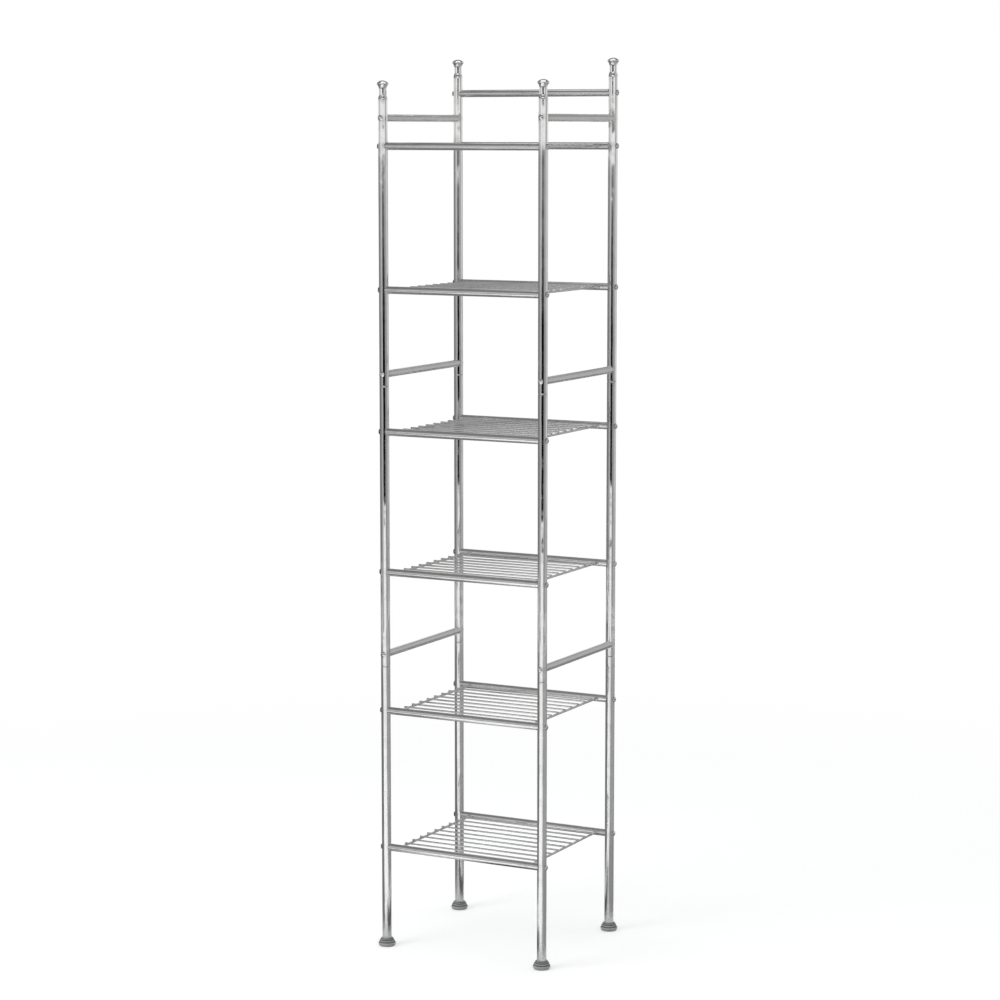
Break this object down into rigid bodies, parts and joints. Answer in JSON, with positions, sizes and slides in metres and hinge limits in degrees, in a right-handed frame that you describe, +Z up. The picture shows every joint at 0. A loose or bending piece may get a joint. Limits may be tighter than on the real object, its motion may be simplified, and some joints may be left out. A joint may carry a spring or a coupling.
{
  "type": "bathroom storage tower",
  "caption": "Free-standing tower of chrome-plated steel tube: wire-grid shelves between corner posts in plug-together sections, side and back guard rails, flared finials and rubber feet.",
  "frame": {"origin": "on the floor, midway between the four posts", "axes": "+Z up along the posts, +Y towards the back with its raised rail, +X to the right seen from the front"},
  "size_m": [0.33, 0.294, 1.524],
  "materials": {
    "post_tube": "bright chrome plate on steel tube",
    "rail_tube": "bright chrome plate on steel tube",
    "shelf": "bright chrome plate on welded tube and wire",
    "finial": "bright chrome plate, turned",
    "screw": "plated steel, polished",
    "insert": "plain turned brass, hidden inside the rails",
    "foot": "matt moulded grey rubber"
  },
  "bodies": {
    "root": {"front_left_lower_post": "post_tube", "front_left_middle_post": "post_tube", "front_left_upper_post": "post_tube", "front_right_lower_post": "post_tube", "front_right_middle_post": "post_tube", "front_right_upper_post": "post_tube", "back_left_lower_post": "post_tube", "back_left_middle_post": "post_tube", "back_left_upper_post": "post_tube", "back_right_lower_post": "post_tube", "back_right_middle_post": "post_tube", "back_right_upper_post": "post_tube", "front_left_foot": "foot", "front_right_foot": "foot", "back_left_foot": "foot", "back_right_foot": "foot", "front_left_finial": "finial", "front_right_finial": "finial", "back_left_finial": "finial", "back_right_finial": "finial", "left_lower_side_rail": "rail_tube", "left_upper_side_rail": "rail_tube", "left_top_side_rail": "rail_tube", "right_lower_side_rail": "rail_tube", "right_upper_side_rail": "rail_tube", "right_top_side_rail": "rail_tube", "back_rail": "rail_tube", "shelf_1": "shelf", "shelf_2": "shelf", "shelf_3": "shelf", "shelf_4": "shelf", "shelf_5": "shelf", "shelf_6": "shelf", "shelf_1_screws": "screw", "shelf_2_screws": "screw", "shelf_3_screws": "screw", "shelf_4_screws": "screw", "shelf_5_screws": "screw", "shelf_6_screws": "screw", "shelf_1_inserts": "insert", "shelf_2_inserts": "insert", "shelf_3_inserts": "insert", "shelf_4_inserts": "insert", "shelf_5_inserts": "insert", "shelf_6_inserts": "insert", "lower_side_rail_screws": "screw", "upper_side_rail_screws": "screw", "top_side_rail_screws": "screw", "lower_side_rail_inserts": "insert", "upper_side_rail_inserts": "insert", "top_side_rail_inserts": "insert", "back_rail_screws": "screw", "back_rail_inserts": "insert"}
  },
  "joints": []
}
